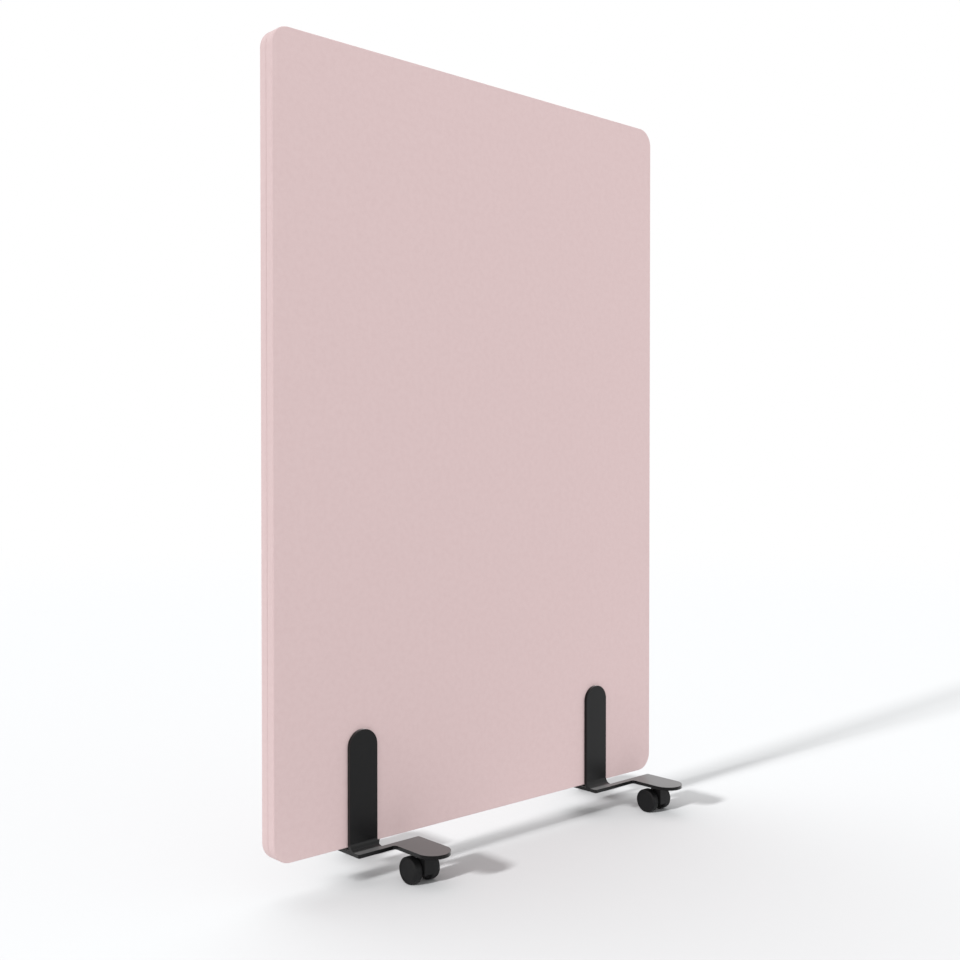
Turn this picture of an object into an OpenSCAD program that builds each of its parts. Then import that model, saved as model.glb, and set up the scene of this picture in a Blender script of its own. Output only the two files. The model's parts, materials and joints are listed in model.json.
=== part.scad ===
// Rolling partition: an upholstered acoustic panel held upright by two steel feet on twin-wheel casters.
// Millimetres. The origin is on the floor under the middle of the panel. +X runs along the panel,
// -Y is the front and +Z is up.

/* [Panel] */
// Width of the panel over the fabric
panel_w = 1000; // [700:10:1600]
// Height of the panel over the fabric
panel_h = 1443; // [900:1:1900]
// Thickness of the panel over both fabric covers
panel_t = 38; // [32:1:60]
// Outline radius of the panel's four corners
corner_r = 35; // [20:1:52]
// Thickness of each cover: fabric on a felt backing
cover_t = 3; // [2:0.5:5]

/* [Inner frame] */
// Width of the rails and stiles, seen from the front
rail_w = 55; // [50:1:90]
// Gap all round between the frame and the acoustic core
core_gap = 1; // [0.5:0.5:4]
// Diameter of the dowels that join stiles to rails
dowel_d = 8; // [6:1:12]
// Length of each dowel
dowel_l = 50; // [30:2:70]
// Distance between the two dowels of a corner
dowel_pitch = 28; // [20:1:32]

/* [Feet] */
// Distance from the panel's side edge in to the middle of the foot's upright
foot_inset = 187; // [170:1:200]
// Width of an upright
upright_w = 62; // [40:1:80]
// Height of an upright above the panel's lower edge
upright_h = 211; // [120:1:400]
// Thickness of the steel plate that the feet are bent from
plate_t = 7; // [6:0.5:12]
// Inside radius of the bend from upright to flange
bend_r = 13.5; // [8:0.5:25]
// Depth of the flat flange in front of the bend
flange_d = 13.5; // [8:0.5:40]
// Radius of the flange's free corner
flange_corner_r = 3; // [1:0.5:6]
// Width of an arm, whose end is a half circle
arm_w = 66; // [60:1:80]
// Reach of an arm from the panel's face to its tip
arm_reach = 134.5; // [115:0.5:180]
// Distance that the left foot's arms lie to the right of their uprights
arm_shift_left = 84; // [72:1:150]
// Distance that the right foot's arms lie to the right of their uprights
arm_shift_right = 123; // [72:1:150]
// Radius of the inner corner between flange and arm
arm_fillet_r = 6; // [2:1:10]
// Gap under a bend between the bridge plate and the bend's lowest line, filled by the weld
weld_gap = 6; // [4:0.5:8]
// Thickness of the rubber pad that the panel rests on
pad_t = 5; // [3:0.5:10]
// Distance that the pad stays inside the bridge plate's side edges
pad_inset = 5; // [2:1:10]

/* [Foot screws] */
// Thread diameter of the screws that hold the panel on its feet
screw_d = 6; // [4:1:6]
// Diameter of the countersunk screw head
screw_head_d = 12; // [10:0.5:14]
// Depth of the cone under the screw head
screw_head_h = 3; // [2:0.5:4]
// Length of the screws over the head
screw_l = 32; // [24:1:45]
// Distance between the two screws of a foot
screw_pitch = 36; // [24:1:38]
// Diameter of the threaded inserts in the lower rail
insert_d = 10; // [9:0.5:12]
// Length of the threaded inserts
insert_l = 15; // [10:1:24]
// Diameter of the hexagon socket over its corners
socket_d = 4; // [2.5:0.5:4]
// Depth of the hexagon socket
socket_h = 2.5; // [1.5:0.5:3]
// Clearance round a screw where it only passes through
screw_clearance = 0.5; // [0.2:0.1:0.8]
// Depth of the screw holes beyond the screws' tips
screw_tip_gap = 2; // [1:0.5:5]

/* [Casters] */
// Height of the arm's underside above the floor
caster_h = 57; // [56:1:70]
// Wheel diameter over the tyre
wheel_d = 50; // [40:1:52]
// Width of each wheel
wheel_w = 17.5; // [12:0.5:22]
// Radius of the tyre's shoulders
tyre_shoulder_r = 3.5; // [1:0.5:4]
// Thickness of the tyre on the wheel's core
tyre_t = 4; // [4:0.5:6]
// Distance between the two wheels of a caster
wheel_gap = 23.5; // [20:0.5:30]
// Distance from the swivel axis back to the axle
trail = 20; // [18:1:28]
// Distance from the panel's face to the caster's axle
axle_out = 68; // [60:1:78]
// Distance that a caster lies to the left of its arm's centre line
caster_offset = 3.5; // [0:0.5:8]
// Diameter of the caster's swivel stem
stem_d = 10; // [8:1:11]
// Depth of the stem's blind seat in the arm
stem_seat = 5; // [3:0.5:5]
// Height of the stem's lower end above the axle's centre line
stem_up = 6; // [5:0.5:7]
// Diameter of the stem's collar
collar_d = 18; // [15:1:20]
// Height of the stem's collar under the arm
collar_h = 2; // [1:0.5:2.5]
// Diameter of the axle
axle_d = 8; // [6:1:9]
// Thickness of wheel left outside the axle's blind bore
wheel_face_t = 4; // [3:0.5:6]
// Thickness of the wheel core's rim under the tyre
wheel_rim_t = 3; // [2:0.5:4]
// Wall of the wheel's hub round the axle
wheel_hub_wall = 4; // [2.5:0.5:5]
// Depth of the wheel's web behind its outer face
wheel_web_t = 3; // [2:0.5:5]
// Wall of the caster body round the stem
boss_wall = 3.5; // [2.5:0.5:5]
// Wall of the caster body round the axle
hub_wall = 9; // [5:0.5:10]
// Thickness of the snap ring on the stem
ring_h = 1.2; // [0.8:0.1:2]
// Depth of the stem's groove for the snap ring
ring_depth = 0.8; // [0.5:0.1:1.2]
// Height of that groove above the stem's lower end
ring_up = 5; // [3:0.5:7]
// Height of the ridge in the wheel's hub that snaps into the axle's groove
snap_h = 0.6; // [0.4:0.1:0.8]
// Width of that ridge
snap_w = 1.5; // [1:0.1:2.5]
// Distance of that ridge from the hub's inner end
snap_at = 8; // [5:0.5:9]
// Angle that the back casters stand turned from trailing to the panel
back_swivel = 115; // [0:5:355]

/* [Fits] */
// Radial clearance of stem and axle in their bores
running_fit = 0.05; // [0.02:0.01:0.1]
// Gap between parts that turn past each other
turning_gap = 0.5; // [0.3:0.1:1]
// Gap on each side of a ring or ridge in its groove
groove_gap = 0.2; // [0.1:0.05:0.4]

/* [Hidden] */
$fn = 96;
eps = 0.01;
SIDES = ["left", "right"];
FRONT = 1;
BACK = -1;

// Heights above the floor
plate_z = caster_h;
plate_top = plate_z + plate_t;
panel_z = plate_top + pad_t;
axle_z = wheel_d / 2;

// Panel build-up
core_t = panel_t - 2 * cover_t;
frame_w = panel_w - 2 * cover_t;
frame_h = panel_h - 2 * cover_t;
frame_z = panel_z + cover_t;
frame_corner_r = corner_r - cover_t;
stile_h = frame_h - 2 * rail_w;
stile_x = frame_w / 2 - rail_w / 2;

// Feet
face_y = panel_t / 2;
bend_end = plate_t + bend_r;
flange_end = bend_end + flange_d;
arm_round_y = arm_reach - arm_w / 2;
screw_hole_r = screw_d / 2 + screw_clearance;
screw_hole_top = plate_z + screw_l + screw_tip_gap;

// Casters
stem_out = axle_out + trail;
body_w = wheel_gap - 2 * turning_gap;
body_top = caster_h - collar_h - turning_gap;
boss_r = stem_d / 2 + boss_wall;
hub_r = axle_d / 2 + hub_wall;
core_r = wheel_d / 2 - tyre_t;
stem_bottom = axle_z + stem_up;
ring_z = stem_bottom + ring_up;
ring_out_r = stem_d / 2 + ring_depth;
bore_l = wheel_w - wheel_face_t;
axle_l = wheel_gap + 2 * (bore_l - turning_gap);

function foot_x(side) = (side == "left" ? -1 : 1) * (panel_w / 2 - foot_inset);
function arm_shift(side) = side == "left" ? arm_shift_left : arm_shift_right;
function arm_x(side) = foot_x(side) + arm_shift(side);
function caster_x(side) = arm_x(side) - caster_offset;
function swivel(face) = face == FRONT ? 0 : back_swivel;

// ---------------------------------------------------------------- shared shapes

// A rectangle with round corners, standing on y = 0 and centred on x = 0.
module round_rect(w, h, r) {
    translate([-w / 2, r]) square([w, h - 2 * r]);
    translate([-w / 2 + r, 0]) square([w - 2 * r, h]);
    for (x = [-1, 1], y = [r, h - r]) translate([x * (w / 2 - r), y]) circle(r);
}

// Stands an outline drawn in x and y upright as a slab of thickness t, centred on y = 0.
module upright_slab(t) {
    rotate([90, 0, 0]) linear_extrude(t, center = true) children();
}

// Draws the children on the front as they are, or mirrored to the back.
module on_face(face) {
    if (face == FRONT) children();
    else mirror([0, 1, 0]) children();
}

// Places the children on a caster's swivel axis at floor level. They are drawn trailing towards +y.
module at_caster(face, side) {
    on_face(face) translate([caster_x(side), -face_y - stem_out, 0]) rotate(-swivel(face)) children();
}

// A cylinder of length l along x, centred on x = 0.
module bar_x(d, l) {
    rotate([0, 90, 0]) cylinder(d = d, h = l, center = true);
}

// What a ring-shaped groove of the given depth and width takes off an upright shaft.
module groove(d, depth, w) {
    difference() {
        cylinder(d = 2 * d, h = w);
        translate([0, 0, -eps]) cylinder(r = d / 2 - depth, h = w + 2 * eps);
    }
}

// ---------------------------------------------------------------- panel

// The places of the dowels: two in each corner, standing across the joint of stile and rail.
module at_dowels() {
    for (x = [-1, 1], z = [rail_w, frame_h - rail_w], d = [-1, 1])
        translate([x * stile_x + d * dowel_pitch / 2, 0, frame_z + z]) children();
}

module dowel() {
    cylinder(d = dowel_d, h = dowel_l, center = true);
}

// The places of a foot's two screws, on the mid-plane of the panel.
module at_screws(side) {
    for (d = [-1, 1]) translate([foot_x(side) + d * screw_pitch / 2, 0, 0]) children();
}

module frame_outline() {
    translate([0, frame_z]) round_rect(frame_w, frame_h, frame_corner_r);
}

module frame_rail_top() {
    color("burlywood") difference() {
        upright_slab(core_t) intersection() {
            frame_outline();
            translate([-frame_w / 2, frame_z + frame_h - rail_w]) square([frame_w, rail_w]);
        }
        at_dowels() dowel();
    }
}

module frame_rail_bottom() {
    color("burlywood") difference() {
        upright_slab(core_t) intersection() {
            frame_outline();
            translate([-frame_w / 2, frame_z]) square([frame_w, rail_w]);
        }
        at_dowels() dowel();
        for (side = SIDES) at_screws(side) {
            translate([0, 0, frame_z - eps]) cylinder(d = insert_d, h = insert_l + eps);
            translate([0, 0, frame_z]) cylinder(r = screw_hole_r, h = screw_hole_top - frame_z);
        }
    }
}

module frame_stile(x) {
    color("burlywood") difference() {
        translate([x - rail_w / 2, -core_t / 2, frame_z + rail_w]) cube([rail_w, core_t, stile_h]);
        at_dowels() dowel();
    }
}

module frame_dowels() {
    color("wheat") at_dowels() dowel();
}

module acoustic_core() {
    side = rail_w + core_gap;
    color("gray") translate([-frame_w / 2 + side, -core_t / 2, frame_z + side])
        cube([frame_w - 2 * side, core_t, frame_h - 2 * side]);
}

// One half shell of the upholstery: the face and half the depth of the edge all round.
module cover(face) {
    color([0.85, 0.75, 0.75]) on_face(face) difference() {
        translate([0, -panel_t / 4, panel_z])
            upright_slab(panel_t / 2) round_rect(panel_w, panel_h, corner_r);
        upright_slab(core_t) frame_outline();
        for (side = SIDES) at_screws(side)
            translate([0, 0, panel_z - eps]) cylinder(r = screw_hole_r, h = 2 * cover_t);
    }
}

module rail_inserts(side) {
    color("goldenrod") at_screws(side) translate([0, 0, frame_z]) difference() {
        cylinder(d = insert_d, h = insert_l);
        translate([0, 0, -eps]) cylinder(d = screw_d, h = insert_l + 2 * eps);
    }
}

// ---------------------------------------------------------------- feet

module screw_head_cone(extra) {
    cylinder(d1 = screw_head_d + 2 * extra, d2 = screw_d + 2 * extra, h = screw_head_h);
}

module foot_screws(side) {
    color("dimgray") at_screws(side) translate([0, 0, plate_z]) difference() {
        union() {
            screw_head_cone(0);
            cylinder(d = screw_d, h = screw_l);
        }
        translate([0, 0, -eps]) cylinder(d = socket_d, h = socket_h + eps, $fn = 6);
    }
}

module rest_pad(side) {
    pad_w = upright_w - 2 * pad_inset;
    color([0.1, 0.1, 0.1]) difference() {
        translate([foot_x(side) - pad_w / 2, -core_t / 2, plate_top]) cube([pad_w, core_t, pad_t]);
        at_screws(side)
            translate([0, 0, plate_top - eps]) cylinder(r = screw_hole_r, h = 2 * pad_t);
    }
}

// The outer surface of a bend, as the solid that fills it.
module bend_fill(side) {
    translate([foot_x(side), -face_y - bend_end, plate_top + bend_r])
        bar_x(2 * (bend_r + plate_t), upright_w + 2 * eps);
}

// The flat plate under the panel, welded between the bends of the front and the back bracket.
module bridge_plate(side) {
    depth = 2 * (face_y + bend_end - weld_gap);
    color([0.16, 0.16, 0.16]) difference() {
        translate([foot_x(side) - upright_w / 2, -depth / 2, plate_z]) cube([upright_w, depth, plate_t]);
        for (face = [FRONT, BACK]) on_face(face) bend_fill(side);
        at_screws(side) {
            translate([0, 0, plate_z]) screw_head_cone(0.1);
            translate([0, 0, plate_z - eps]) cylinder(r = screw_hole_r, h = 2 * plate_t);
        }
    }
}

// Section through upright, bend and flange; x runs out from the panel's face and y is height.
module bent_section() {
    bend_z = plate_top + bend_r;
    translate([0, bend_z]) square([plate_t, panel_z + upright_h - bend_z]);
    translate([bend_end, plate_z]) square([flange_d, plate_t]);
    intersection() {
        translate([bend_end, bend_z]) difference() {
            circle(bend_r + plate_t);
            circle(bend_r);
        }
        translate([0, plate_z]) square([bend_end, plate_t + bend_r]);
    }
}

// Face outline of the bent strip: straight sides and a half-round top.
module upright_outline() {
    top = panel_z + upright_h - upright_w / 2;
    translate([-upright_w / 2, plate_z - eps]) square([upright_w, top - plate_z + eps]);
    translate([0, top]) circle(upright_w / 2);
}

// Plan of flange and arm; x is along the panel from the upright's centre, y is minus the reach.
module foot_plan(shift) {
    arm_left = shift - arm_w / 2;
    difference() {
        union() {
            translate([-upright_w / 2, -flange_end])
                square([shift + arm_w / 2 + upright_w / 2, flange_d]);
            translate([arm_left, -arm_round_y]) square([arm_w, arm_round_y - bend_end]);
            translate([shift, -arm_round_y]) circle(arm_w / 2);
            translate([arm_left - arm_fillet_r, -flange_end - arm_fillet_r])
                square([arm_fillet_r + eps, arm_fillet_r + eps]);
        }
        translate([arm_left - arm_fillet_r, -flange_end - arm_fillet_r]) circle(arm_fillet_r);
        corner_cut(-upright_w / 2, -flange_end, 1, 1, flange_corner_r);
        corner_cut(shift + arm_w / 2, -bend_end, -1, -1, flange_corner_r);
    }
}

// What is cut away to round the convex corner at x, y; sx and sy point into the plate.
module corner_cut(x, y, sx, sy, r) {
    translate([x, y]) scale([sx, sy]) difference() {
        translate([-eps, -eps]) square(r + eps);
        translate([r, r]) circle(r);
    }
}

// One bent plate: upright, bend, flange and arm, with the blind seat for the caster's stem.
module bracket(face, side) {
    shift = arm_shift(side);
    color([0.16, 0.16, 0.16]) on_face(face) difference() {
        translate([foot_x(side), -face_y, 0]) union() {
            intersection() {
                rotate([90, 0, -90]) linear_extrude(upright_w, center = true) bent_section();
                upright_slab(4 * (flange_end + plate_t)) upright_outline();
                translate([-upright_w, -flange_end, 0]) cube([2 * upright_w, flange_end, 2 * panel_h]);
                flange_corner_column();
            }
            translate([0, 0, plate_z]) linear_extrude(plate_t) foot_plan(shift);
        }
        translate([caster_x(side), -face_y - stem_out, plate_z - eps])
            cylinder(d = stem_d, h = stem_seat + eps);
    }
}

// Keeps the bent strip inside the rounded free corner of the flange.
module flange_corner_column() {
    difference() {
        translate([-upright_w, -2 * flange_end, 0]) cube([2 * upright_w, 4 * flange_end, 2 * panel_h]);
        translate([0, 0, -eps]) linear_extrude(2 * panel_h + 2 * eps)
            corner_cut(-upright_w / 2, -flange_end, 1, 1, flange_corner_r);
    }
}

// ---------------------------------------------------------------- casters

module stem(face, side) {
    color("silver") at_caster(face, side) difference() {
        union() {
            translate([0, 0, stem_bottom]) cylinder(d = stem_d, h = caster_h + stem_seat - stem_bottom);
            translate([0, 0, caster_h - collar_h]) cylinder(d = collar_d, h = collar_h);
        }
        translate([0, 0, ring_z]) groove(stem_d, ring_depth, ring_h);
    }
}

// The snap ring in the stem's groove, which keeps the caster body on its stem.
module ring(face, side) {
    color("silver") at_caster(face, side) translate([0, 0, ring_z]) difference() {
        cylinder(r = ring_out_r, h = ring_h);
        translate([0, 0, -eps]) cylinder(r = stem_d / 2 - ring_depth, h = ring_h + 2 * eps);
    }
}

// Side view of the caster body; x runs from the stem towards the axle and y is height.
module body_profile() {
    translate([trail, axle_z]) circle(hub_r);
    translate([-boss_r, axle_z - hub_r / 2]) square([2 * boss_r, body_top - axle_z + hub_r / 2]);
    polygon([
        [boss_r - eps, axle_z - hub_r / 2],
        [trail, axle_z - hub_r],
        [trail + hub_r, axle_z],
        [trail + hub_r / 2, axle_z + hub_r],
        [boss_r - eps, body_top - collar_h]
    ]);
}

module body(face, side) {
    color([0.13, 0.13, 0.13]) at_caster(face, side) difference() {
        rotate([90, 0, 90]) linear_extrude(body_w, center = true) body_profile();
        translate([0, 0, stem_bottom - turning_gap]) cylinder(r = stem_d / 2 + running_fit, h = caster_h);
        translate([0, 0, ring_z - groove_gap])
            cylinder(r = ring_out_r + groove_gap, h = ring_h + 2 * groove_gap);
        translate([0, trail, axle_z]) bar_x(axle_d, 2 * body_w);
    }
}

module axle(face, side) {
    color("silver") at_caster(face, side) translate([0, trail, axle_z]) difference() {
        bar_x(axle_d, axle_l);
        for (end = [-1, 1]) rotate([0, end * 90, 0])
            translate([0, 0, wheel_gap / 2 + snap_at - groove_gap])
                groove(axle_d, snap_h, snap_w + 2 * groove_gap);
    }
}

// Half section of the tyre ring; x is the radius and y runs from the wheel's inner to its outer face.
module tyre_section() {
    r = wheel_d / 2;
    s = tyre_shoulder_r;
    translate([core_r, 0]) square([tyre_t - s, wheel_w]);
    translate([core_r, s]) square([tyre_t, wheel_w - 2 * s]);
    for (y = [s, wheel_w - s]) intersection() {
        translate([r - s, y]) circle(s);
        translate([core_r, 0]) square([tyre_t, wheel_w]);
    }
}

// Half section of the wheel's core, with the axle's blind bore and a hollow behind the outer face.
module core_section() {
    bore_r = axle_d / 2 + running_fit;
    hub = axle_d / 2 + wheel_hub_wall;
    rim = core_r - wheel_rim_t;
    translate([0, bore_l]) square([core_r, wheel_face_t]);
    translate([bore_r, 0]) square([hub - bore_r, bore_l + eps]);
    translate([rim, 0]) square([wheel_rim_t, bore_l + eps]);
    translate([bore_r, bore_l - wheel_web_t]) square([rim - bore_r + eps, wheel_web_t + eps]);
    translate([bore_r - snap_h, snap_at]) square([snap_h + eps, snap_w]);
}

// Turns the children's half section about the axle; end is -1 for wheel a (left) and 1 for wheel b.
module at_wheel(face, side, end) {
    at_caster(face, side) translate([end * wheel_gap / 2, trail, axle_z])
        rotate([0, end * 90, 0]) rotate_extrude() children();
}

module wheel(face, side, end) {
    color([0.12, 0.12, 0.12]) at_wheel(face, side, end) core_section();
}

module tyre(face, side, end) {
    color([0.1, 0.1, 0.1]) at_wheel(face, side, end) tyre_section();
}

// ---------------------------------------------------------------- parts

frame_rail_top();
frame_rail_bottom();
frame_stile(-stile_x);  // frame_stile_left
frame_stile(stile_x);  // frame_stile_right
frame_dowels();
acoustic_core();
cover(FRONT);  // front_cover
cover(BACK);  // back_cover

for (side = SIDES) {
    rail_inserts(side);
    foot_screws(side);
    rest_pad(side);
    bridge_plate(side);
    for (face = [FRONT, BACK]) {
        place = str(face == FRONT ? "front_" : "back_", side);
        bracket(face, side);
        stem(face, side);
        ring(face, side);
        body(face, side);
        axle(face, side);
        wheel(face, side, -1);
        wheel(face, side, 1);
        tyre(face, side, -1);
        tyre(face, side, 1);
    }
}
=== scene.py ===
"""Looks of a rolling partition: a fabric-covered panel on two bent steel feet with swivel casters.

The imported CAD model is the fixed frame. This script covers the panel in cloth, gives the steel
plates and the casters their rounded edges, dresses every surface, and sets the stage.
Lengths are in metres. +X runs along the panel, -Y is the front and +Z is up. An angle named
sharp_from is in degrees: an edge that turns by more is sharp.
"""

import json
import logging
import math
from collections.abc import Callable, Iterator
from contextlib import contextmanager
from dataclasses import dataclass
from enum import Enum

import bmesh
import bpy
from mathutils import Matrix, Vector


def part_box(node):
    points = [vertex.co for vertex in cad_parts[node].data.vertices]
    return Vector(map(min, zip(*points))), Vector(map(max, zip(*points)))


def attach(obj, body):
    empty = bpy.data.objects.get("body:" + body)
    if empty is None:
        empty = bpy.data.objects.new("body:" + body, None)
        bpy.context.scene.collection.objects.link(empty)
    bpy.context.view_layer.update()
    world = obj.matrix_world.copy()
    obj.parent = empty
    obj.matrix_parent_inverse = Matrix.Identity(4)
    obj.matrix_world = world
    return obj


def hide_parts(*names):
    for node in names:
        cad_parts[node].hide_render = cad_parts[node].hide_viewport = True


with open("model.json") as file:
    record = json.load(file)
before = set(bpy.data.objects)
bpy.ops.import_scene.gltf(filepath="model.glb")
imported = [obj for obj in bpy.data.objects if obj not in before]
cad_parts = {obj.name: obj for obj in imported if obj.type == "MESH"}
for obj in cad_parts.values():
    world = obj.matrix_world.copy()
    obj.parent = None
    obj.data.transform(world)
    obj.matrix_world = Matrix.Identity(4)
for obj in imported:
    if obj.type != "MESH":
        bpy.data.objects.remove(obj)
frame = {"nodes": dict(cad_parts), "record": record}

log = logging.getLogger("partition")

MM = 0.001
TOUCH = 0.02 * MM
ROOT = "panel_and_feet"

# Faces of a CAD node that differ by less than this are one flat face.
COPLANAR = math.radians(1)
# How far a smooth piece's shading follows its large flat faces, of 100.
FLAT_WEIGHT = 100
# Corners that would meet are rounded this share of the way, so that their points stay apart.
NEARLY = 0.9999
# A band of the wave texture is this wide at a scale of 1.
WAVE_BAND = 0.314


class Face(Enum):
    """Which side of the panel a piece belongs to, with the sign of its outward Y."""

    FRONT = -1
    BACK = 1

    @property
    def word(self) -> str:
        """The word that stands for this side in the names of nodes."""
        return self.name.lower()


class Side(Enum):
    """Which foot a piece belongs to, seen from the front."""

    LEFT = "left"
    RIGHT = "right"


# ------------------------------------------------------------------ modelling helpers


def deselect_all() -> None:
    """Leaves edit mode and selects nothing."""
    if bpy.context.mode != "OBJECT":
        bpy.ops.object.mode_set(mode="OBJECT")
    bpy.ops.object.select_all(action="DESELECT")


def select_only(piece: bpy.types.Object) -> None:
    """Selects one piece alone and makes it the active one.

    Args:
        piece: The object to select.
    """
    deselect_all()
    piece.select_set(True)
    bpy.context.view_layer.objects.active = piece


def take(name: str) -> bpy.types.Object:
    """Names the object that a primitive operator has just added.

    Args:
        name: The piece's name.

    Returns:
        The object, selected and active, with its place in its mesh.
    """
    piece = bpy.context.object
    piece.name = name
    piece.data.name = name
    bpy.ops.object.transform_apply(location=True, rotation=True, scale=True)
    return piece


@contextmanager
def edit(piece: bpy.types.Object) -> Iterator[None]:
    """Opens a piece in edit mode with nothing selected, and closes it again.

    Args:
        piece: The object to edit.

    Yields:
        Nothing, while the piece is open.
    """
    select_only(piece)
    bpy.ops.object.mode_set(mode="EDIT")
    bpy.ops.mesh.select_all(action="DESELECT")
    yield
    bpy.ops.object.mode_set(mode="OBJECT")


def pick(kind: str, test: Callable[[list[Vector]], bool]) -> int:
    """Selects, in edit mode, only the vertices, edges or faces whose corners pass a test.

    Args:
        kind: "VERT", "EDGE" or "FACE".
        test: Says whether an element with these corner points is wanted.

    Returns:
        How many elements were selected.
    """
    bpy.ops.mesh.select_mode(type=kind)
    bpy.ops.mesh.select_all(action="DESELECT")
    mesh = bmesh.from_edit_mesh(bpy.context.object.data)
    elements = {"VERT": mesh.verts, "EDGE": mesh.edges, "FACE": mesh.faces}[kind]
    count = 0
    for element in elements:
        points = [element.co] if kind == "VERT" else [v.co for v in element.verts]
        if test(points):
            element.select_set(True)
            count += 1
    mesh.select_flush_mode()
    bmesh.update_edit_mesh(bpy.context.object.data)
    return count


def anywhere(points: list[Vector]) -> bool:
    """A test that every element passes."""
    return True


def all_at(**places: float) -> Callable[[list[Vector]], bool]:
    """A test that every corner lies at the given coordinates.

    Args:
        places: The wanted coordinate for any of x, y and z.

    Returns:
        The test, for pick().
    """

    def test(points: list[Vector]) -> bool:
        """Whether all the corners lie there."""
        return all(abs(getattr(p, axis) - at) < TOUCH for p in points for axis, at in places.items())

    return test


def extrude_edges(x: float = 0.0, y: float = 0.0, z: float = 0.0) -> None:
    """Draws the selected edges out into new faces by a step along the axes."""
    bpy.ops.mesh.extrude_edges_move(TRANSFORM_OT_translate={"value": (x, y, z)})


def extrude_faces(z: float) -> None:
    """Draws the selected faces out along Z, with new walls round them."""
    bpy.ops.mesh.extrude_region_move(TRANSFORM_OT_translate={"value": (0, 0, z)})


def finish_with(piece: bpy.types.Object, kind: str, **settings: object) -> None:
    """Adds a modifier to a piece and applies it.

    Args:
        piece: The object to change.
        kind: The modifier's type.
        settings: The modifier's settings.
    """
    select_only(piece)
    bpy.ops.object.modifier_add(type=kind)
    modifier = piece.modifiers[-1]
    for key, value in settings.items():
        setattr(modifier, key, value)
    bpy.ops.object.modifier_apply(modifier=modifier.name)


def round_edges(
    piece: bpy.types.Object, radius: float, segments: int = 3, angle: float = 40
) -> None:
    """Rounds every edge that is sharper than an angle.

    Args:
        piece: The object to change.
        radius: The rounding's width in metres.
        segments: How many facets the rounding has.
        angle: The least angle in degrees of an edge that is rounded.
    """
    finish_with(
        piece,
        "BEVEL",
        width=radius,
        segments=segments,
        limit_method="ANGLE",
        angle_limit=math.radians(angle),
        use_clamp_overlap=True,
    )


def smooth(piece: bpy.types.Object, angle: float = 35) -> None:
    """Shades a piece smooth, but keeps its sharp edges sharp and its flat faces flat.

    Args:
        piece: The object to shade.
        angle: The least angle in degrees of an edge that stays sharp.
    """
    select_only(piece)
    bpy.ops.object.shade_smooth_by_angle(angle=math.radians(angle))
    finish_with(piece, "WEIGHTED_NORMAL", keep_sharp=True, weight=FLAT_WEIGHT)


def tidy_mesh(piece: bpy.types.Object) -> None:
    """Merges doubled points of a piece and turns its faces outwards."""
    with edit(piece):
        bpy.ops.mesh.select_all(action="SELECT")
        bpy.ops.mesh.remove_doubles(threshold=TOUCH)
        bpy.ops.mesh.normals_make_consistent(inside=False)


def softened_copy(node: str, name: str, radius: float, angle: float = 40) -> bpy.types.Object:
    """A copy of a CAD node with its triangles joined into faces and its sharp edges rounded.

    Args:
        node: The CAD node that is copied.
        name: The new piece's name.
        radius: The rounding's width in metres.
        angle: The least angle in degrees of an edge that is rounded.

    Returns:
        The new piece.
    """
    source = frame["nodes"][node]
    piece = bpy.data.objects.new(name, source.data.copy())
    bpy.context.scene.collection.objects.link(piece)
    piece.data.name = name
    with edit(piece):
        bpy.ops.mesh.select_all(action="SELECT")
        bpy.ops.mesh.customdata_custom_splitnormals_clear()
        bpy.ops.mesh.remove_doubles(threshold=TOUCH)
        bpy.ops.mesh.dissolve_limited(angle_limit=COPLANAR)
    round_edges(piece, radius, angle=angle)
    smooth(piece)
    return piece


def report(piece: bpy.types.Object) -> None:
    """Logs a finished piece with its number of faces."""
    log.info("%s: %d faces", piece.name, len(piece.data.polygons))


# ------------------------------------------------------------------ finishes


def colour(code: str) -> tuple[float, float, float, float]:
    """Turns an sRGB hex code into a linear colour.

    Args:
        code: Six hex digits, such as "d8c0c0".

    Returns:
        Red, green, blue and alpha.
    """

    def linear(value: float) -> float:
        """One channel of the colour, made linear."""
        return value / 12.92 if value <= 0.04045 else ((value + 0.055) / 1.055) ** 2.4

    red, green, blue = (linear(int(code[i : i + 2], 16) / 255) for i in (0, 2, 4))
    return (red, green, blue, 1.0)


def add_node(
    tree: bpy.types.NodeTree, kind: str, inputs: dict | None = None, **settings: object
) -> bpy.types.Node:
    """Adds a node to a tree with its settings, values and links.

    Args:
        tree: The material's or world's node tree.
        kind: The node's type.
        inputs: For each socket's name or index, its value or the output that is linked to it.
        settings: The node's own settings.

    Returns:
        The node.
    """
    node = tree.nodes.new(kind)
    for key, value in settings.items():
        setattr(node, key, value)
    for socket, value in (inputs or {}).items():
        if isinstance(value, bpy.types.NodeSocket):
            tree.links.new(value, node.inputs[socket])
        else:
            node.inputs[socket].default_value = value
    return node


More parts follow.
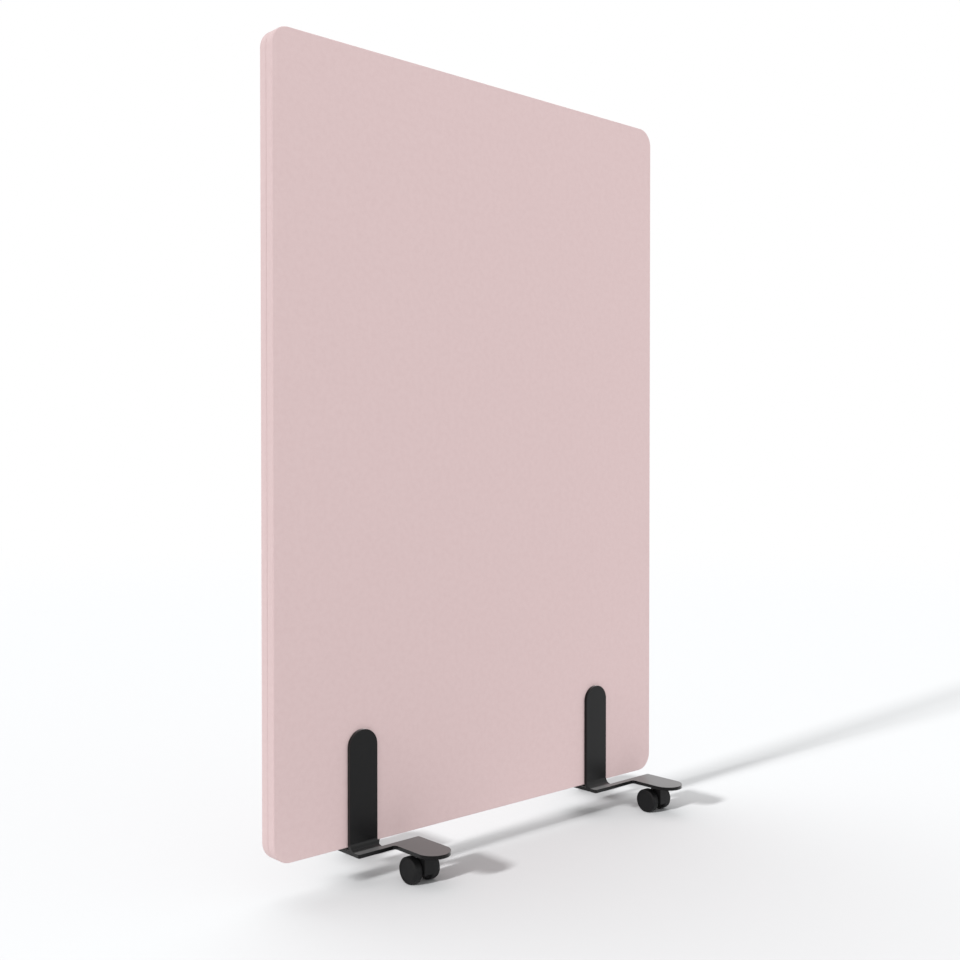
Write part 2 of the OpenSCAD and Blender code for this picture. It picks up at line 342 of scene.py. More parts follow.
@dataclass(frozen=True)
class Finish:
    """What every finish has: a name and the shader's plain values."""

    name: str
    base: str
    roughness: float
    metallic: float = 0.0
    ior: float = 1.5
    specular: float = 0.5
    sheen: float = 0.0
    sheen_roughness: float = 0.5

    def material(self) -> bpy.types.Material:
        """The finish as a material, made once.

        Returns:
            The material.
        """
        found = bpy.data.materials.get(self.name)
        if found:
            return found
        made = bpy.data.materials.new(self.name)
        made.use_nodes = True
        tree = made.node_tree
        shader = tree.nodes["Principled BSDF"]
        shader.inputs["Base Color"].default_value = colour(self.base)
        shader.inputs["Roughness"].default_value = self.roughness
        shader.inputs["Metallic"].default_value = self.metallic
        shader.inputs["IOR"].default_value = self.ior
        shader.inputs["Specular IOR Level"].default_value = self.specular
        shader.inputs["Sheen Weight"].default_value = self.sheen
        shader.inputs["Sheen Roughness"].default_value = self.sheen_roughness
        self.detail(tree, shader)
        return made

    def detail(self, tree: bpy.types.NodeTree, shader: bpy.types.Node) -> None:
        """Adds the finish's own pattern and relief to its shader."""

    def dress(self, piece: bpy.types.Object) -> None:
        """Gives a piece this finish on all its faces.

        Args:
            piece: The object to dress.
        """
        if not piece.material_slots:
            piece.data.materials.append(self.material())
        for place in piece.material_slots:
            place.material = self.material()


@dataclass(frozen=True)
class WovenCloth(Finish):
    """Plain-weave polyester screen cloth: matt, with fine crossing threads and a faint heather."""

    # The lighter tone: a painted highlight on the thread crests, and the light side of the yarn's heather.
    light: str = "e0c8c8"
    thread: float = 1.6 * MM
    relief: float = 0.12 * MM
    bump: float = 0.35
    heather_per_mm: float = 0.09
    heather_detail: float = 3.0
    heather_roughness: float = 0.7
    heather_low: float = 0.35
    heather_high: float = 0.65
    heather_tone: float = 0.22

    def detail(self, tree: bpy.types.NodeTree, shader: bpy.types.Node) -> None:
        """Weaves warp and weft on the cloth's own flat map, which is in metres.

        Args:
            tree: The material's node tree.
            shader: The material's shader.
        """
        cloth = add_node(tree, "ShaderNodeUVMap", uv_map="cloth").outputs["UV"]
        weave = self.weave(tree, cloth)
        # The weave's height plus the heather sets the tone: a painted highlight on the thread crests,
        # painted shade in the gaps between threads, and the yarn's own heather.
        depth = add_node(
            tree, "ShaderNodeMath", {0: weave, 1: self.heather(tree, cloth)}, operation="ADD"
        )
        shade = add_node(
            tree,
            "ShaderNodeMix",
            {0: depth.outputs[0], 6: colour(self.base), 7: colour(self.light)},
            data_type="RGBA",
        )
        tree.links.new(shade.outputs[2], shader.inputs["Base Color"])
        bump = add_node(
            tree,
            "ShaderNodeBump",
            {"Height": weave, "Strength": self.bump, "Distance": self.relief},
        )
        tree.links.new(bump.outputs[0], shader.inputs["Normal"])

    def weave(self, tree: bpy.types.NodeTree, cloth: bpy.types.NodeSocket) -> bpy.types.NodeSocket:
        """Lays round threads over and under one another, as a plain weave does.

        Args:
            tree: The material's node tree.
            cloth: The place on the cloth in metres.

        Returns:
            The weave's height, from 0 to 1.
        """
        threads = add_node(
            tree, "ShaderNodeVectorMath", {0: cloth, "Scale": 1 / self.thread}, operation="SCALE"
        ).outputs[0]
        split = add_node(tree, "ShaderNodeSeparateXYZ", {0: threads})
        ridges = []
        for axis in ("X", "Y"):
            across = {0: split.outputs[axis], 1: math.pi}
            turn = add_node(tree, "ShaderNodeMath", across, operation="MULTIPLY")
            wave = add_node(tree, "ShaderNodeMath", {0: turn.outputs[0]}, operation="SINE")
            ridge = add_node(tree, "ShaderNodeMath", {0: wave.outputs[0]}, operation="ABSOLUTE")
            ridges.append(ridge.outputs[0])
        over = add_node(tree, "ShaderNodeTexChecker", {"Vector": threads, "Scale": 1.0})
        crossing = {0: over.outputs["Fac"], 2: ridges[0], 3: ridges[1]}
        return add_node(tree, "ShaderNodeMix", crossing).outputs[0]

    def heather(self, tree: bpy.types.NodeTree, cloth: bpy.types.NodeSocket) -> bpy.types.NodeSocket:
        """Lightens and darkens the yarn a little in soft patches.

        Args:
            tree: The material's node tree.
            cloth: The place on the cloth in metres.

        Returns:
            The change in tone, as much below 0 as above it.
        """
        patches = add_node(
            tree,
            "ShaderNodeTexNoise",
            {
                "Vector": cloth,
                "Scale": self.heather_per_mm / MM,
                "Detail": self.heather_detail,
                "Roughness": self.heather_roughness,
            },
        )
        tone = add_node(
            tree,
            "ShaderNodeMapRange",
            {
                "Value": patches.outputs["Fac"],
                "From Min": self.heather_low,
                "From Max": self.heather_high,
                "To Min": -self.heather_tone,
                "To Max": self.heather_tone,
            },
        )
        return tone.outputs[0]


@dataclass(frozen=True)
class Grained(Finish):
    """A finish with a fine all-over grain: powder coat, moulded plastic, rubber or felt."""

    grain: float = 0.8 * MM
    grain_detail: float = 2.0
    relief: float = 0.02 * MM
    bump: float = 0.3
    uneven: float = 0.08
    uneven_per_mm: float = 0.025
    uneven_detail: float = 4.0
    uneven_low: float = 0.3
    uneven_high: float = 0.7

    def detail(self, tree: bpy.types.NodeTree, shader: bpy.types.Node) -> None:
        """Adds a grain of a real width to the surface and a slow change to its gloss.

        Args:
            tree: The material's node tree.
            shader: The material's shader.
        """
        place = add_node(tree, "ShaderNodeTexCoord").outputs["Object"]
        grain = add_node(
            tree,
            "ShaderNodeTexNoise",
            {"Vector": place, "Scale": 1 / self.grain, "Detail": self.grain_detail},
        )
        slow = add_node(
            tree,
            "ShaderNodeTexNoise",
            {"Vector": place, "Scale": self.uneven_per_mm / MM, "Detail": self.uneven_detail},
        )
        gloss = add_node(
            tree,
            "ShaderNodeMapRange",
            {
                "Value": slow.outputs["Fac"],
                "From Min": self.uneven_low,
                "From Max": self.uneven_high,
                "To Min": self.roughness - self.uneven,
                "To Max": self.roughness + self.uneven,
            },
        )
        tree.links.new(gloss.outputs[0], shader.inputs["Roughness"])
        bump = add_node(
            tree,
            "ShaderNodeBump",
            {"Height": grain.outputs["Fac"], "Strength": self.bump, "Distance": self.relief},
        )
        tree.links.new(bump.outputs[0], shader.inputs["Normal"])


@dataclass(frozen=True)
class Planed(Finish):
    """Planed softwood: straight grain along the piece, with darker late wood."""

    dark: str = "a8794a"
    ring: float = 4 * MM
    waver: float = 3.0
    waver_detail: float = 3.0
    waver_scale: float = 1.5

    def detail(self, tree: bpy.types.NodeTree, shader: bpy.types.Node) -> None:
        """Draws the growth rings as slightly wavy bands.

        Args:
            tree: The material's node tree.
            shader: The material's shader.
        """
        place = add_node(tree, "ShaderNodeTexCoord").outputs["Object"]
        wood = add_node(
            tree,
            "ShaderNodeTexWave",
            {
                "Vector": place,
                "Scale": WAVE_BAND / self.ring,
                "Distortion": self.waver,
                "Detail": self.waver_detail,
                "Detail Scale": self.waver_scale,
            },
            bands_direction="Y",
        )
        shade = add_node(
            tree,
            "ShaderNodeMix",
            {0: wood.outputs["Fac"], 6: colour(self.base), 7: colour(self.dark)},
            data_type="RGBA",
        )
        tree.links.new(shade.outputs[2], shader.inputs["Base Color"])


# Polyester screen cloth in dusty pink: matt and woven, a little lighter on the crossings, where a
# highlight is painted on the thread crests and shade in the gaps between them.
PANEL_CLOTH = WovenCloth("woven_panel_cloth", "d9bfbf", 0.92, specular=0.2, sheen=0.1)
# Powder-coated steel: baked satin black with a slight orange peel and an almost even gloss.
POWDER_COAT = Grained(
    "powder_coated_steel",
    "030304",
    0.26,
    specular=0.21,
    sheen=0.9,
    sheen_roughness=0.33,
    grain=1.2 * MM,
    relief=0.012 * MM,
    uneven=0.01,
)
# Moulded nylon of the caster bodies and wheel cores: matt with a spark-eroded grain.
CASTER_NYLON = Grained("moulded_nylon", "0f0f10", 0.5, specular=0.2, grain=0.6 * MM)
# Soft polyurethane tyre: dull black that picks up dust on the tread.
TYRE_RUBBER = Grained("polyurethane_tyre", "101011", 0.6, specular=0.25, grain=1.0 * MM, uneven=0.1)
# Rubber rest pad: dull and dark.
PAD_RUBBER = Grained("rest_pad_rubber", "1c1c1c", 0.8, grain=1.5 * MM, relief=0.05 * MM)
# Zinc-plated steel of stems, axles and snap rings: bright, faintly brushed.
ZINC_STEEL = Grained("zinc_plated_steel", "b4b6b8", 0.36, metallic=1.0, grain=0.4 * MM, relief=0.005 * MM)
# Black-oxide screw: dark metal with a soft shine.
BLACK_OXIDE = Grained("black_oxide_screw", "2b2b2d", 0.42, metallic=1.0, grain=0.3 * MM, relief=0.005 * MM)
# Turned brass insert.
TURNED_BRASS = Grained("turned_brass", "b8964f", 0.36, metallic=1.0, grain=0.4 * MM, relief=0.005 * MM)
# Pressed polyester felt of the core: grey, fuzzy and matt.
PRESSED_FELT = Grained("pressed_felt", "8f8f8c", 0.95, grain=2.0 * MM, relief=0.3 * MM, uneven=0.04)
# Planed spruce of the inner frame.
PLANED_SPRUCE = Planed("planed_spruce", "cfae80", 0.6)


# ------------------------------------------------------------------ the panel's covers


@dataclass
class Cover:
    """One half of the upholstery: a cloth tray stretched over a face and half of the edge."""

    face: Face
    corner: float = 35 * MM
    corner_steps: int = 20
    lip: float = 2.4 * MM
    lip_steps: int = 5
    cloth: float = 0.8 * MM
    seam_gap: float = 0.15 * MM
    seam_run: float = 2.2 * MM
    seam_dip: float = 1.1 * MM
    sharp_from: float = 30

    def build(self) -> bpy.types.Object:
        """Models the cover over its CAD node.

        Returns:
            The cloth tray.
        """
        low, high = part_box(f"{self.face.word}_cover")
        sign = self.face.value
        outer = low.y if sign < 0 else high.y
        half = Vector(((high.x - low.x) / 2, 0, (high.z - low.z) / 2))
        middle = (low + high) / 2
        deselect_all()
        bpy.ops.mesh.primitive_plane_add(
            size=1,
            location=(middle.x, outer, middle.z),
            rotation=(-sign * math.pi / 2, 0, 0),
        )
        bpy.context.object.scale = (2 * half.x, 2 * half.z, 1)
        tray = take(f"cloth_{self.face.word}")
        edge = -sign * (abs(outer) - self.seam_gap)
        with edit(tray):
            pick("VERT", anywhere)
            bpy.ops.mesh.bevel(
                offset=self.corner,
                segments=self.corner_steps,
                affect="VERTICES",
                clamp_overlap=False,
            )
            pick("EDGE", all_at(y=outer))
            extrude_edges(y=edge + sign * self.seam_run)
            extrude_edges(y=-sign * self.seam_run)
            bpy.ops.transform.shrink_fatten(value=-self.seam_dip)
            pick("EDGE", all_at(y=outer))
            bpy.ops.mesh.bevel(
                offset=self.lip, segments=self.lip_steps, affect="EDGES", clamp_overlap=False
            )
        tidy_mesh(tray)
        self.turn_outwards(tray)
        finish_with(tray, "SOLIDIFY", thickness=self.cloth, offset=-1)
        self.lay_flat(tray, half, middle, outer)
        smooth(tray, self.sharp_from)
        return tray

    def turn_outwards(self, tray: bpy.types.Object) -> None:
        """Flips the open tray if its face looks into the panel.

        Args:
            tray: The cloth tray before it gets its thickness.
        """
        widest = max(tray.data.polygons, key=lambda polygon: polygon.area)
        if widest.normal.y * self.face.value < 0:
            with edit(tray):
                bpy.ops.mesh.select_all(action="SELECT")
                bpy.ops.mesh.flip_normals()

    def lay_flat(
        self, tray: bpy.types.Object, half: Vector, middle: Vector, outer: float
    ) -> None:
        """Writes the cloth's flat map, in metres, so that the weave runs on round the edge.

        Args:
            tray: The cloth tray.
            half: Half the panel's width and height, in x and z.
            middle: The middle of the cover's box.
            outer: The y of the panel's face.
        """
        inner_x = half.x - self.corner
        inner_z = half.z - self.corner
        flat = []
        for vertex in tray.data.vertices:
            x, z = vertex.co.x - middle.x, vertex.co.z - middle.z
            nearest = Vector((max(-inner_x, min(inner_x, x)), max(-inner_z, min(inner_z, z))))
            out = Vector((x, z)) - nearest
            depth = abs(vertex.co.y - outer)
            if out.length > 0:
                out = out.normalized() * depth
            flat.append((x + out.x, z + out.y))
        layer = tray.data.uv_layers.new(name="cloth")
        for loop in tray.data.loops:
            layer.data[loop.index].uv = flat[loop.vertex_index]

    def fit(self) -> None:
        """Builds the cover, dresses it and puts it in its CAD node's place."""
        tray = self.build()
        PANEL_CLOTH.dress(tray)
        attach(tray, ROOT)
        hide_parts(f"{self.face.word}_cover")
        report(tray)


# ------------------------------------------------------------------ the feet


@dataclass
class Bracket:
    """One bent plate of a foot: upright, bend, flange and arm."""

    face: Face
    side: Side
    plate: float = 7 * MM
    upright: float = 62 * MM
    bend: float = 13.5 * MM
    flange: float = 13.5 * MM
    arm: float = 66 * MM
    flange_corner: float = 3 * MM
    arm_corner: float = 6 * MM
    edge: float = 1.0 * MM
    bend_steps: int = 14
    round_steps: int = 28

    @property
    def node(self) -> str:
        """The name of the CAD node that the plate stands for."""
        return f"bracket_{self.face.word}_{self.side.value}"

    def build(self) -> bpy.types.Object:
        """Models the plate from its middle surface and gives it its thickness and edges.

        Returns:
            The bent plate.
        """
        low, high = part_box(self.node)
        sign = self.face.value
        half = self.plate / 2
        level = low.z + half
        face = high.y if sign < 0 else low.y
        tip = low.y if sign < 0 else high.y
        bend_line = face + sign * (self.plate + self.bend)
        bend_top = level + half + self.bend
        front_line = bend_line + sign * self.flange
        arm_left = high.x - self.arm
        upright_right = low.x + self.upright
        deselect_all()
        bpy.ops.mesh.primitive_plane_add(
            size=1,
            location=((low.x + upright_right) / 2, (bend_line + front_line) / 2, level),
        )
        bpy.context.object.scale = (self.upright, self.flange, 1)
        plate = take(f"plate_{self.face.word}_{self.side.value}")

        def at_arm(points: list[Vector]) -> bool:
            """Whether an edge is the flange's front under the arm."""
            return all_at(y=front_line)(points) and min(p.x for p in points) > arm_left - TOUCH

        def at_bend(points: list[Vector]) -> bool:
            """Whether an edge is the flange's back in front of the upright."""
            right = max(p.x for p in points)
            return all_at(y=bend_line)(points) and right < upright_right + TOUCH

        with edit(plate):
            pick("EDGE", all_at(x=upright_right))
            extrude_edges(x=arm_left - upright_right)
            extrude_edges(x=self.arm)
            pick("EDGE", at_arm)
            extrude_edges(y=tip - front_line)
            pick("EDGE", at_bend)
            bpy.ops.mesh.spin(
                steps=self.bend_steps,
                angle=sign * math.pi / 2,
                center=(low.x, bend_line, bend_top),
                axis=(1, 0, 0),
            )
            pick("EDGE", all_at(z=bend_top))
            extrude_edges(z=high.z - bend_top)
            pick("EDGE", anywhere)
            bpy.ops.mesh.remove_doubles(threshold=TOUCH)
            upright_top = [(low.x, None, high.z), (upright_right, None, high.z)]
            arm_tip = [(arm_left, tip, level), (high.x, tip, level)]
            flange_ends = [(low.x, front_line, level), (high.x, bend_line, level)]
            self.round_corners(upright_top, self.upright / 2)
            self.round_corners(arm_tip, self.arm / 2)
            self.round_corners(flange_ends, self.flange_corner)
            self.round_corners([(arm_left, front_line, level)], self.arm_corner)
        tidy_mesh(plate)
        finish_with(plate, "SOLIDIFY", thickness=self.plate, offset=0, use_even_offset=True)
        round_edges(plate, self.edge)
        smooth(plate)
        return plate

    def round_corners(
        self, corners: list[tuple[float, float | None, float]], radius: float
    ) -> None:
        """Rounds the outline at some of its corners, in edit mode.

        Args:
            corners: Each corner's x, y and z, with None where any y will do.
            radius: The corners' radius.
        """

        def wanted(points: list[Vector]) -> bool:
            """Whether a point is one of the corners."""
            return any(
                all(at is None or abs(value - at) < TOUCH for value, at in zip(points[0], corner))
                for corner in corners
            )

        pick("VERT", wanted)
        bpy.ops.mesh.bevel(
            offset=radius * NEARLY,
            segments=self.round_steps,
            affect="VERTICES",
            clamp_overlap=False,
        )

    def fit(self) -> None:
        """Builds the plate, dresses it and puts it in its CAD node's place."""
        plate = self.build()
        POWDER_COAT.dress(plate)
        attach(plate, ROOT)
        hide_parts(self.node)
        report(plate)


@dataclass
class Foot:
    """One foot's bridge plate with its two weld beads, and the rubber pad on it."""

    side: Side
    edge: float = 0.8 * MM
    sharp_from: float = 60
    bead: float = 2.6 * MM
    bead_sides: int = 20
    bead_inset: float = 2.0 * MM
    bead_height: float = 0.6
    bead_rise: float = 0.62
    end_ring: float = 0.45
    end_height: float = 0.35
    ripple: float = 3.2 * MM
    ripple_cuts: int = 4
    ripple_swell: float = 0.1

    def fit_plates(self) -> None:
        """Rounds the edges of the bridge plate and the pad."""
        for node, finish, slot in (
            (f"bridge_plate_{self.side.value}", POWDER_COAT, "black_steel"),
            (f"rest_pad_{self.side.value}", PAD_RUBBER, "pad_rubber"),
        ):
            piece = softened_copy(node, f"{node}_rounded", self.edge, angle=self.sharp_from)
            finish.dress(piece)
            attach(piece, ROOT)
            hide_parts(node)
            report(piece)

    def bead_piece(self, face: Face) -> bpy.types.Object:
        """Models the weld bead that joins the bridge plate to one bend, seen from below.

        Args:
            face: The side of the panel that the bend is on.

        Returns:
            The bead: a flattened bar with the ripples of the weld pool.
        """
        low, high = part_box(f"bridge_plate_{self.side.value}")
        reach = high.y if face is Face.BACK else low.y
        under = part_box(f"bracket_{face.word}_{self.side.value}")[0].z
        length = high.x - low.x - 2 * self.bead_inset
        centre = Vector(
            (
                (low.x + high.x) / 2,
                reach + face.value * self.bead,
                under + self.bead * self.bead_rise,
            )
        )
        deselect_all()
        bpy.ops.mesh.primitive_cylinder_add(
            vertices=self.bead_sides,
            radius=self.bead,
            depth=length,
            location=centre,
            rotation=(0, math.pi / 2, 0),
        )
        bead = take(f"weld_bead_{face.word}_{self.side.value}")
        with edit(bead):
            pick("FACE", lambda points: max(abs(p.x - points[0].x) for p in points) < TOUCH)
            bpy.ops.mesh.inset(thickness=self.bead * self.end_ring)
            pick("EDGE", lambda points: abs(abs(points[0].x - points[1].x) - length) < TOUCH)
            bpy.ops.mesh.subdivide(number_cuts=int(length / self.ripple) * self.ripple_cuts)
            bpy.ops.mesh.select_all(action="SELECT")
            bpy.ops.transform.resize(value=(1, 1, self.bead_height), center_override=centre)
        self.ripple_bead(bead, centre, length)
        smooth(bead, self.sharp_from)
        return bead

    def ripple_bead(self, bead: bpy.types.Object, centre: Vector, length: float) -> None:
        """Swells and narrows the bead along its length, and rounds off its two ends.

        Args:
            bead: The flattened bar.
            centre: Its middle.
            length: Its length.
        """
        for vertex in bead.data.vertices:
            along = vertex.co.x - centre.x
            wave = 1 + self.ripple_swell * math.sin(2 * math.pi * along / self.ripple)
            to_end = max(0.0, length / 2 - abs(along)) / (2 * self.bead)
            taper = min(1.0, math.sqrt(to_end) + self.end_height)
            vertex.co.y = centre.y + (vertex.co.y - centre.y) * wave * taper
            vertex.co.z = centre.z + (vertex.co.z - centre.z) * wave * taper

    def fit(self) -> None:
        """Fits the plate, the pad and both beads."""
        self.fit_plates()
        for face in Face:
            bead = self.bead_piece(face)
            POWDER_COAT.dress(bead)
            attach(bead, ROOT)
            report(bead)


# ------------------------------------------------------------------ the casters


@dataclass
class Wheel:
    """A moulded wheel core and its tyre, modelled once on the Z axis with the outer face up."""

    radius: float = 25 * MM
    width: float = 17.5 * MM
    tyre: float = 4 * MM
    shoulder: float = 3.45 * MM
    shoulder_steps: int = 7
    rim: float = 3 * MM
    hub: float = 8 * MM
    bore: float = 4.05 * MM
    hollow: float = 10.5 * MM
    bore_depth: float = 13.5 * MM
    dish: float = 0.5 * MM
    dish_rim: float = 1.6 * MM
    edge: float = 0.45 * MM
    core_sharp_from: float = 50
    tyre_sharp_from: float = 60
    sides: int = 72

    def cap_face(self, level: float, reach: float) -> int:
        """Selects, in edit mode, the round face at a height that reaches a radius at most.

        Args:
            level: The face's height.
            reach: The radius that it stays within.

        Returns:
            How many faces were selected.
        """

        def wanted(points: list[Vector]) -> bool:
            """Whether a face lies at the height and within the radius."""
            return all_at(z=level)(points) and max(p.xy.length for p in points) < reach + TOUCH

        return pick("FACE", wanted)

    def core_model(self) -> bpy.types.Object:
        """Models the core: a dished outer face, a rim and a hub behind it.

        Returns:
            The core.
        """
        deselect_all()
        reach = self.radius - self.tyre
        bpy.ops.mesh.primitive_cylinder_add(
            vertices=self.sides,
            radius=reach,
            depth=self.width,
            location=(0, 0, self.width / 2),
        )
        core = take("wheel_core_model")
        with edit(core):
            self.cap_face(self.width, reach)
            bpy.ops.mesh.inset(thickness=self.dish_rim)
            self.cap_face(self.width, reach - self.dish_rim)
            bpy.ops.mesh.inset(thickness=self.dish, depth=-self.dish)
            self.cap_face(0, reach)
            bpy.ops.mesh.inset(thickness=self.rim)
            self.cap_face(0, reach - self.rim)
            extrude_faces(self.hollow)
            self.cap_face(self.hollow, reach - self.rim)
            bpy.ops.mesh.inset(thickness=reach - self.rim - self.hub)
            self.cap_face(self.hollow, self.hub)
            extrude_faces(-self.hollow)
            self.cap_face(0, self.hub)
            bpy.ops.mesh.inset(thickness=self.hub - self.bore)
            self.cap_face(0, self.bore)
            extrude_faces(self.bore_depth)
        tidy_mesh(core)
        round_edges(core, self.edge, angle=self.core_sharp_from)
        smooth(core)
        return core

    def tyre_model(self) -> bpy.types.Object:
        """Models the tyre: a ring with round shoulders.

        Returns:
            The tyre.
        """
        deselect_all()
        bpy.ops.mesh.primitive_cylinder_add(
            vertices=self.sides,
            radius=self.radius,
            depth=self.width,
            location=(0, 0, self.width / 2),
        )
        tyre = take("tyre_model")
        inner = self.radius - self.tyre
        with edit(tyre):
            pick("EDGE", lambda points: abs(points[0].z - points[1].z) < TOUCH)
            bpy.ops.mesh.bevel(
                offset=self.shoulder,
                segments=self.shoulder_steps,
                affect="EDGES",
                clamp_overlap=False,
            )
            for level in (0.0, self.width):
                self.cap_face(level, self.radius - self.shoulder)
                bpy.ops.mesh.inset(thickness=self.tyre - self.shoulder)
                self.cap_face(level, inner)
                bpy.ops.mesh.delete(type="ONLY_FACE")
            pick("EDGE", lambda points: all(abs(p.xy.length - inner) < TOUCH for p in points))
            bpy.ops.mesh.bridge_edge_loops()
        tidy_mesh(tyre)
        round_edges(tyre, self.edge, segments=2, angle=self.tyre_sharp_from)
        smooth(tyre)
        return tyre


@dataclass
class Casters:
    """All four twin-wheel casters: bodies with rounded edges, and eight wheels."""

    wheel: Wheel
    inner_face: float = 11.75 * MM
    body_edge: float = 1.2 * MM
    body_sharp_from: float = 50

    def fit(self) -> None:
        """Builds the wheel models once and copies them to their axles."""
        models = {
            "wheel_core": (self.wheel.core_model(), CASTER_NYLON, "wheel_plastic"),
            "tyre": (self.wheel.tyre_model(), TYRE_RUBBER, "tyre_rubber"),
        }
        joints = {row["name"]: row for row in frame["record"]["behaviour"]["joints"]}
        for face in Face:
            for side in Side:
                place = f"{face.word}_{side.value}"
                self.fit_body(place)
                for letter, sign in (("a", -1), ("b", 1)):
                    wheel = f"{letter}_{place}"
                    joint = joints[f"spin_{wheel}"]
                    turn = self.to_axle(Vector(joint["pos_m"]), sign * Vector(joint["axis"]))
                    for kind, (model, finish, slot) in models.items():
                        self.fit_copy(model, turn, f"{kind}_{wheel}", f"wheel_{wheel}", finish)
        for model, _, _ in models.values():
            bpy.data.objects.remove(model)

    def to_axle(self, centre: Vector, outward: Vector) -> Matrix:
        """The move that takes a model from the Z axis to its axle.

        Args:
            centre: The middle of the axle.
            outward: The direction from the caster's body to the wheel.

        Returns:
            The move as a matrix.
        """
        outward = outward.normalized()
        turn = outward.to_track_quat("Z", "Y").to_matrix().to_4x4()
        return Matrix.Translation(centre + outward * self.inner_face) @ turn

    def fit_copy(
        self,
        model: bpy.types.Object,
        turn: Matrix,
        node: str,
        body: str,
        finish: Finish,
    ) -> None:
        """Copies a model to its place and puts it in its CAD node's stead.

        Args:
            model: The piece on the Z axis.
            turn: The move to its place.
            node: The CAD node that it stands for.
            body: The moving body that it rides on.
            finish: Its finish.
        """
        piece = bpy.data.objects.new(f"{node}_moulded", model.data.copy())
        bpy.context.scene.collection.objects.link(piece)
        piece.data.transform(turn)
        finish.dress(piece)
        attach(piece, body)
        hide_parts(node)
        report(piece)

    def fit_body(self, place: str) -> None:
        """Rounds the edges of one caster body.

        Args:
            place: The caster's face and side, as in the names of nodes.
        """
        node = f"caster_body_{place}"
        body = softened_copy(node, f"{node}_moulded", self.body_edge, angle=self.body_sharp_from)
        CASTER_NYLON.dress(body)
        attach(body, f"caster_{place}")
        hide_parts(node)
        report(body)


# ------------------------------------------------------------------ the stage


class Lit(Enum):
    """What a lamp lights: the floor alone, or all but the floor."""

    FLOOR = "INCLUDE"
    OBJECT = "EXCLUDE"


@dataclass(frozen=True)
class Lamp:
    """A soft distant lamp.

    Its angles are in degrees. A heading of 0 shines along the panel from its left end, and one
    of 90 shines at its front.
    """

    name: str
    strength: float
    elevation: float
    heading: float
    size: float
    lit: Lit

    def light(self, floor: bpy.types.Object) -> None:
        """Adds the lamp to the scene.

        Args:
            floor: The floor, which is all that it lights or all that it leaves out.
        """
        data = bpy.data.lights.new(self.name, "SUN")
        data.energy = self.strength
        data.angle = math.radians(self.size)
        lamp = bpy.data.objects.new(self.name, data)
        lamp.rotation_euler = (0, -math.radians(90 - self.elevation), math.radians(self.heading))
        bpy.context.scene.collection.objects.link(lamp)
        receivers = bpy.data.collections.new(f"{self.name}_receivers")
        receivers.objects.link(floor)
        receivers.collection_objects[0].light_linking.link_state = self.lit.value
        lamp.light_linking.receiver_collection = receivers


# Low soft lamps model the object. The floor gets more light from the side, almost along the
# panel, so that its shadow is a thin line as in the photograph, and some light from behind.
LAMPS = (
    Lamp("key", strength=0.82, elevation=22.5, heading=3.5, size=6.0, lit=Lit.OBJECT),
    Lamp("front_fill", strength=0.7, elevation=12.0, heading=100.0, size=60.0, lit=Lit.OBJECT),
    Lamp("back_fill", strength=0.45, elevation=12.0, heading=-80.0, size=60.0, lit=Lit.OBJECT),
    Lamp("floor_key", strength=5.6, elevation=22.5, heading=1.2, size=5.5, lit=Lit.FLOOR),
    Lamp("floor_back", strength=1.4, elevation=65.0, heading=-90.0, size=60.0, lit=Lit.FLOOR),
)


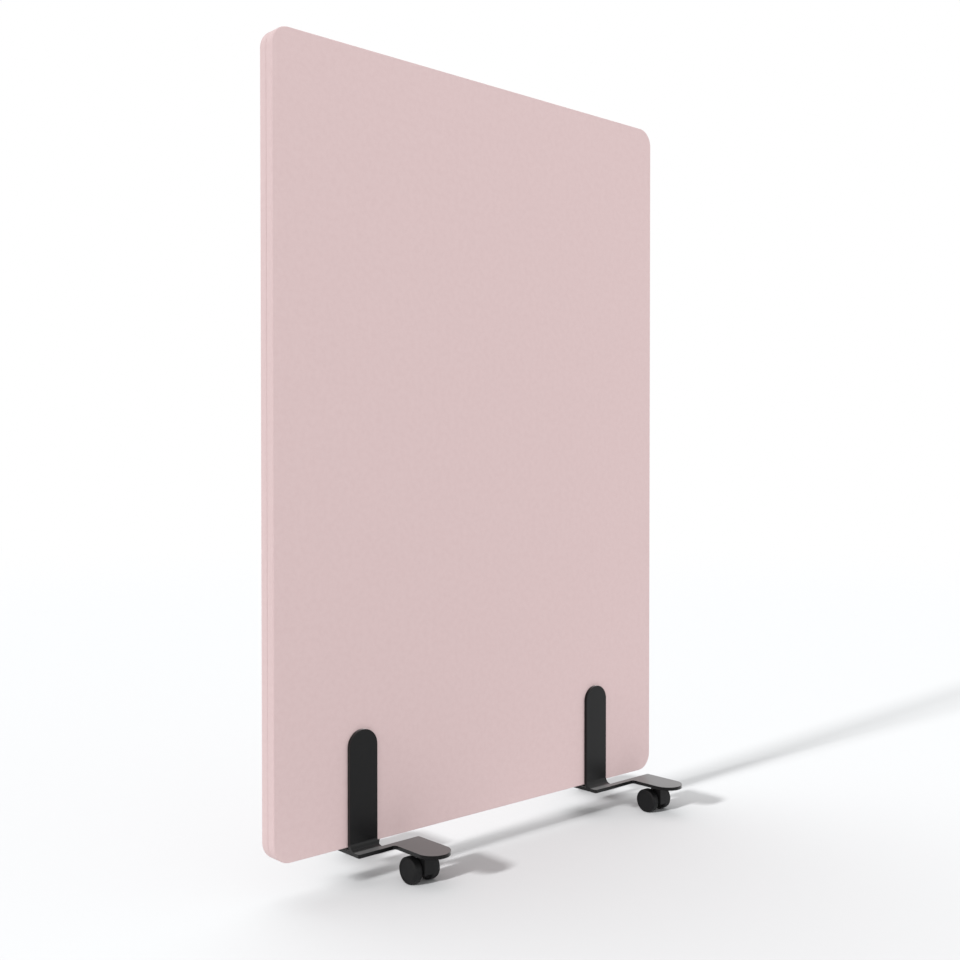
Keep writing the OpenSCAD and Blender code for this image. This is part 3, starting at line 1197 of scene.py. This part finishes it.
@dataclass
class Stage:
    """Floor, backdrop light, lamps and camera of the picture."""

    eye: tuple[float, float, float] = (-1.6049, -1.7610, 0.7628)
    heading: float = 42.289
    tilt: float = -0.8436
    lens: float = 44.66
    sensor: float = 36.0
    picture: int = 960
    half_pixel: float = 0.5
    floor_half: float = 12.0
    fade_from: float = 3.0
    fade_to: float = 9.0
    floor_tone: str = "bdbebf"
    white: str = "ffffff"
    ambient: float = 0.84
    even_bounce: float = 0.8

    def camera(self) -> None:
        """Sets the camera at the photograph's place, on the grid of the pixels' middles."""
        data = bpy.data.cameras.new("camera")
        data.lens = self.lens
        data.sensor_width = self.sensor
        data.shift_x = -self.half_pixel / self.picture
        data.shift_y = self.half_pixel / self.picture
        camera = bpy.data.objects.new("camera", data)
        camera.location = self.eye
        camera.rotation_euler = (math.radians(90 + self.tilt), 0, math.radians(-self.heading))
        bpy.context.scene.collection.objects.link(camera)
        bpy.context.scene.camera = camera

    def floor(self) -> bpy.types.Object:
        """Lays a plain pale floor that fades to white far from the object.

        Most of the light that it sends back to the object is even, whatever shadow lies on it: in
        the photograph, the panel is no darker near the floor.

        Returns:
            The floor.
        """
        deselect_all()
        bpy.ops.mesh.primitive_plane_add(size=2 * self.floor_half)
        floor = take("floor")
        material = bpy.data.materials.new("pale_floor")
        material.use_nodes = True
        tree = material.node_tree
        tree.nodes.clear()
        place = add_node(tree, "ShaderNodeTexCoord").outputs["Object"]
        away = add_node(tree, "ShaderNodeVectorMath", {0: place}, operation="LENGTH")
        fade = add_node(
            tree,
            "ShaderNodeMapRange",
            {"Value": away.outputs["Value"], "From Min": self.fade_from, "From Max": self.fade_to},
            interpolation_type="SMOOTHSTEP",
        )
        matt = add_node(tree, "ShaderNodeBsdfDiffuse", {"Color": colour(self.floor_tone)})
        far = add_node(tree, "ShaderNodeEmission", {"Color": colour(self.white)})
        seen = add_node(
            tree,
            "ShaderNodeMixShader",
            {0: fade.outputs[0], 1: matt.outputs[0], 2: far.outputs[0]},
        )
        path = add_node(tree, "ShaderNodeLightPath")
        share = add_node(
            tree,
            "ShaderNodeMath",
            {0: path.outputs["Is Diffuse Ray"], 1: self.even_bounce},
            operation="MULTIPLY",
        )
        even = add_node(
            tree, "ShaderNodeEmission", {"Color": colour(self.white), "Strength": self.ambient}
        )
        lit = add_node(
            tree,
            "ShaderNodeMixShader",
            {0: share.outputs[0], 1: seen.outputs[0], 2: even.outputs[0]},
        )
        add_node(tree, "ShaderNodeOutputMaterial", {0: lit.outputs[0]})
        floor.data.materials.append(material)
        return floor

    def world(self) -> None:
        """Sets a white backdrop and an even soft light from all sides."""
        world = bpy.data.worlds.new("studio")
        bpy.context.scene.world = world
        world.use_nodes = True
        tree = world.node_tree
        tree.nodes.clear()
        path = add_node(tree, "ShaderNodeLightPath")
        seen = add_node(
            tree,
            "ShaderNodeMath",
            {0: path.outputs["Is Camera Ray"], 1: path.outputs["Is Glossy Ray"]},
            operation="MAXIMUM",
        )
        shown = add_node(
            tree,
            "ShaderNodeMath",
            {0: seen.outputs[0], 1: path.outputs["Is Transmission Ray"]},
            operation="MAXIMUM",
        )
        strength = add_node(
            tree,
            "ShaderNodeMapRange",
            {"Value": shown.outputs[0], "To Min": self.ambient, "To Max": 1.0},
        )
        glow = add_node(
            tree,
            "ShaderNodeBackground",
            {"Color": colour(self.white), "Strength": strength.outputs[0]},
        )
        add_node(tree, "ShaderNodeOutputWorld", {0: glow.outputs[0]})

    def build(self) -> None:
        """Sets the whole stage."""
        self.camera()
        floor = self.floor()
        self.world()
        for lamp in LAMPS:
            lamp.light(floor)
        bpy.context.scene.view_settings.view_transform = "Standard"


# ------------------------------------------------------------------ the object


def dress_nodes() -> None:
    """Gives every CAD node the finish of its record slot."""
    finishes = {
        "frame_wood": PLANED_SPRUCE,
        "core_felt": PRESSED_FELT,
        "cover_fabric": PRESSED_FELT,
        "black_steel": POWDER_COAT,
        "black_screw": BLACK_OXIDE,
        "zinc_steel": ZINC_STEEL,
        "insert_brass": TURNED_BRASS,
        "pad_rubber": PAD_RUBBER,
        "caster_plastic": CASTER_NYLON,
        "wheel_plastic": CASTER_NYLON,
        "tyre_rubber": TYRE_RUBBER,
    }
    for row in frame["record"]["subparts"]:
        finishes[row["material_slot"]].dress(frame["nodes"][row["node"]])


def main() -> None:
    """Builds the classes in order."""
    logging.basicConfig(level=logging.INFO, format="%(message)s")
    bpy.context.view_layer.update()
    Stage().build()
    dress_nodes()
    for face in Face:
        Cover(face).fit()
        for side in Side:
            Bracket(face, side).fit()
    for side in Side:
        Foot(side).fit()
    Casters(Wheel()).fit()
    deselect_all()


if __name__ == "__main__":
    main()
